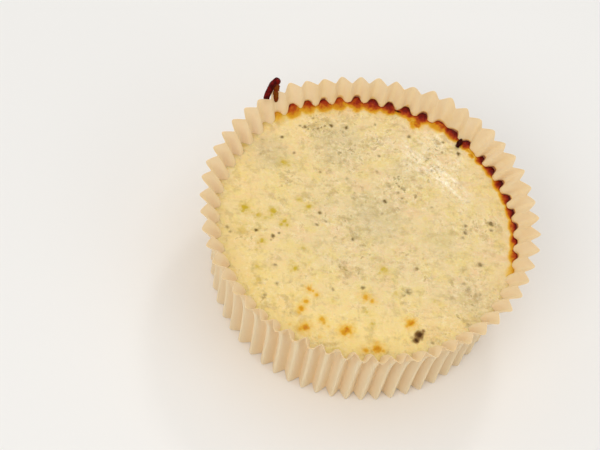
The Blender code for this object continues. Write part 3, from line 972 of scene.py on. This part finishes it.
def make_paper():
    """Two faces a paper's thickness apart, joined along the cut rim, each closed to a point below."""
    pleat, outer = paper_rows(inner=False)
    pleat, inner = paper_rows(inner=True)
    columns = PAPER_COLUMNS
    strip = outer + inner[::-1]
    points = np.concatenate(strip + [np.array([[0.0, 0.0, 0.0]]), np.array([[0.0, 0.0, PAPER]])])
    faces = grid_faces(numbered(len(strip), columns)).tolist()
    count = len(strip) * columns
    faces += fan_faces(np.arange(columns), count, False).tolist()
    faces += fan_faces(np.arange(count - columns, count), count + 1, True).tolist()

    case = make_object("paper_case_pleated", points, faces, paper_finish(), 50.0)
    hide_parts("paper_case")
    height = points[:, 2]
    all_pleats = np.concatenate([np.tile(pleat, len(strip)), [0.0, 0.0]])
    edge = np.concatenate([np.tile(edge_of_top(pleat)[0], len(strip)), [CAKE_TOP, CAKE_TOP]])
    above = (height - edge) / MM
    strength = by_pleat(0, all_pleats) * (1.0 - STAIN_PINCH * between_folds(all_pleats))
    stain = strength * (1.0 - smooth_step(above, 0.05, 0.9)) * smooth_step(above, -1.2, -0.3)
    add_attribute(case, "toasted", smooth_step(height, CASE_HEIGHT - TOASTED_DEPTH, CASE_HEIGHT) * 0.6)
    inside = np.concatenate([np.zeros(len(outer) * columns), np.ones(len(inner) * columns), [0.0, 0.0]])
    add_attribute(case, "stain", stain * inside)
    # Painted light: the outer face below the cake's top is made lighter and warmer
    add_attribute(case, "outside", (1.0 - inside) * smooth_step(-above, -1.5, 1.5))


# Burnt pieces: how uneven the noise and the twist make them, as shares of their radius
UNEVENNESS = 0.22
TWIST = 0.08


def lump(path, radii, flatness, seed, sides=24, steps=28):
    """A lumpy round section, its radii in millimetres, carried along a smoothed path and shut at both ends.

    The section lies across the path, flattened towards the middle of the cake, and noise and a slow
    three-sided twist make it uneven.
    """
    path = np.asarray(path, float)
    knots = np.linspace(0.0, 1.0, len(path))
    share = 0.5 - 0.5 * np.cos(np.linspace(0.0, math.pi, steps))
    line = np.stack([np.interp(share, knots, path[:, k]) for k in range(3)], axis=1)
    for _ in range(3):
        line[1:-1] = 0.25 * line[:-2] + 0.5 * line[1:-1] + 0.25 * line[2:]
    size = np.interp(share, np.linspace(0.0, 1.0, len(radii)), radii) * MM
    size = size * np.sqrt(np.clip(1.0 - (2.0 * share - 1.0) ** 6, 0.0, 1.0))
    ahead = np.gradient(line, axis=0)
    ahead /= np.linalg.norm(ahead, axis=1, keepdims=True)
    outwards = line * np.array([1.0, 1.0, 0.0])
    outwards /= np.linalg.norm(outwards, axis=1, keepdims=True)
    side = np.cross(ahead, outwards)
    side /= np.linalg.norm(side, axis=1, keepdims=True)
    up = np.cross(side, ahead)
    turn = np.linspace(0.0, 2.0 * math.pi, sides, endpoint=False)
    noise = layered_noise(share[:, None] * 9.0, np.cos(turn)[None, :] * 1.2 + 3.0, 1.0, seed)
    lumps = 1.0 + UNEVENNESS * noise + TWIST * np.sin(3.0 * turn + 9.0 * share[:, None])
    reach = size[:, None] * lumps
    points = line[:, None, :] + reach[..., None] * (
        np.cos(turn)[None, :, None] * side[:, None, :]
        + flatness * np.sin(turn)[None, :, None] * up[:, None, :]
    )
    return points[1:-1], line[0], line[-1]


def lump_mesh(lumps):
    """Joins several lumps into one set of points and faces, each closed by a point at both ends."""
    points, faces, count = [], [], 0
    for body, first, last in lumps:
        rows, sides = body.shape[:2]
        points += [body.reshape(-1, 3), first[None, :], last[None, :]]
        faces += (grid_faces(numbered(rows, sides)) + count).tolist()
        ring = np.arange(sides) + count
        end = count + rows * sides
        faces += fan_faces(ring, end, False).tolist()
        faces += fan_faces(ring + (rows - 1) * sides, end + 1, True).tolist()
        count = end + 2
    return np.concatenate(points), faces


def polar(azimuth, radius, height):
    """A place round the case, from degrees and millimetres."""
    angle = math.radians(azimuth)
    x = radius * MM * math.cos(angle) - FOLDS.centre[0]
    y = radius * MM * math.sin(angle) - FOLDS.centre[1]
    return x, y, height * MM


def turned_outwards(piece):
    """Turns every face of closed lumps to point out."""
    mesh = bmesh.new()
    mesh.from_mesh(piece.data)
    bmesh.ops.recalc_face_normals(mesh, faces=mesh.faces)
    mesh.to_mesh(piece.data)
    mesh.free()


# The drip's two lobes, over the rim and down the inside: (azimuth, radius, height), in millimetres
LOBE_OVER_RIM = (
    (137.6, 57.6, 42.3), (139.5, 57.6, 42.2), (141.5, 57.2, 41.8), (143.5, 56.2, 41.0),
    (145.0, 55.0, 39.8), (145.8, 54.5, 38.0),
)
LOBE_INSIDE = (
    (139.4, 57.2, 42.1), (139.8, 56.4, 41.2), (140.3, 55.5, 39.8), (140.9, 54.5, 38.1), (141.4, 53.6, 36.6),
)
LYING_HEIGHT = CAKE_TOP + 0.8 * MM


def make_burnt_pieces():
    """The drip over the rim in two lobes, the seed by the back edge, and the thin whisker."""
    over = lump([polar(*place) for place in LOBE_OVER_RIM], (1.6, 1.8, 1.5, 1.4, 1.35, 1.15), 0.7, 301)
    inside = lump([polar(*place) for place in LOBE_INSIDE], (1.0, 1.25, 1.3, 1.15, 0.95), 0.6, 317)
    seed = lump([seen_at(pixel, LYING_HEIGHT) for pixel in SEED_PATH], (0.7, 1.0, 0.75), 0.9, 331)
    hair = [seen_at(pixel, LYING_HEIGHT) for pixel in WHISKER_PATH]
    whisker = lump(hair, (0.26, 0.22, 0.14), 0.8, 347, sides=12, steps=14)
    dark = burnt_finish("burnt_sugar", colour(62, 0, 0), colour(112, 6, 0), 0.24)
    brown = burnt_finish("burnt_batter", colour(112, 34, 0), colour(116, 66, 2), 0.3)
    black = burnt_finish("burnt_seed", colour(40, 0, 0), colour(70, 2, 0), 0.3)
    pieces = [
        ("burnt_drip_over_rim", lump_mesh([over]), dark),
        ("burnt_drip_inside", lump_mesh([inside]), brown),
        ("burnt_seed_and_whisker", lump_mesh([seed, whisker]), black),
    ]
    for name, (points, faces), finish in pieces:
        piece = make_object(name, points, faces, finish)
        turned_outwards(piece)


# The setting
FLOOR_REACH = 1.6
FLOOR_COLOUR = (0.86, 0.85, 0.83, 1.0)
ROOM_COLOUR = (1.0, 0.99, 0.97, 1.0)
ROOM_LIGHT = 0.562
LIT_PLACE = (0.0, 0.0, 0.03)

# The lamps: (name, place, side of the square, watts)
LAMPS = (
    ("window", (-0.30, -0.66, 0.74), 0.60, 3.0),
    ("ceiling", (0.10, 0.10, 0.90), 0.65, 1.35),
    ("right_fill", (0.68, -0.22, 0.46), 0.50, 0.7),
    ("left_fill", (-0.62, 0.10, 0.50), 0.50, 0.35),
)
GLOW_DISTANCE = 0.60
GLOW_WIDTH = 0.095
GLOW_POWER = 0.38


def make_floor():
    """A plain square with a pale matt finish."""
    signs = ((-1, -1), (1, -1), (1, 1), (-1, 1))
    corners = [(FLOOR_REACH * across, FLOOR_REACH * along, 0.0) for across, along in signs]
    data = bpy.data.meshes.new("floor")
    data.from_pydata(corners, [], [(0, 1, 2, 3)])
    finish = Finish("pale_floor", Specular_IOR_Level=0.2)
    data.materials.append(finish.surface(Base_Color=FLOOR_COLOUR, Roughness=0.8))
    floor = bpy.data.objects.new("floor", data)
    bpy.context.scene.collection.objects.link(floor)


def make_light(name, place, target, size, power, along=(1.0, 0.0, 0.0)):
    """A flat rectangle of light that shines on the target, its first side along that direction."""
    data = bpy.data.lights.new(name, "AREA")
    data.shape = "RECTANGLE"
    data.size, data.size_y = size
    data.energy = power
    place = Vector(place)
    outwards = (place - Vector(target)).normalized()
    across = outwards.cross(Vector(along)).normalized()
    turn = Matrix((across.cross(outwards), across, outwards)).transposed()
    light = bpy.data.objects.new(name, data)
    light.matrix_world = Matrix.Translation(place) @ turn.to_4x4()
    bpy.context.scene.collection.objects.link(light)


def make_glow():
    """A long narrow light, placed where the camera sees its reflection along the sheen on the top."""
    first, last = (seen_at(pixel) for pixel in GLOW_ENDS)
    middle = (first + last) / 2.0
    mirrored = middle - camera_place()
    mirrored.z = -mirrored.z
    place = middle + mirrored.normalized() * GLOW_DISTANCE
    spread = GLOW_DISTANCE / mirrored.length + 1.0
    along = last - first
    make_light("glow", place, middle, (along.length * spread, GLOW_WIDTH), GLOW_POWER, along)


def make_lights():
    """An even pale room, square lamps round the case, and the glow on its top."""
    world = bpy.data.worlds.new("soft_room")
    bpy.context.scene.world = world
    world.use_nodes = True
    sky = world.node_tree.nodes["Background"]
    sky.inputs["Color"].default_value = ROOM_COLOUR
    sky.inputs["Strength"].default_value = ROOM_LIGHT
    for name, place, side, power in LAMPS:
        make_light(name, place, LIT_PLACE, (side, side), power)
    make_glow()


def main():
    scene = bpy.context.scene
    scene.view_settings.view_transform = "Standard"
    make_camera()
    make_lights()
    make_floor()
    make_cake()
    make_paper()
    make_burnt_pieces()


main()
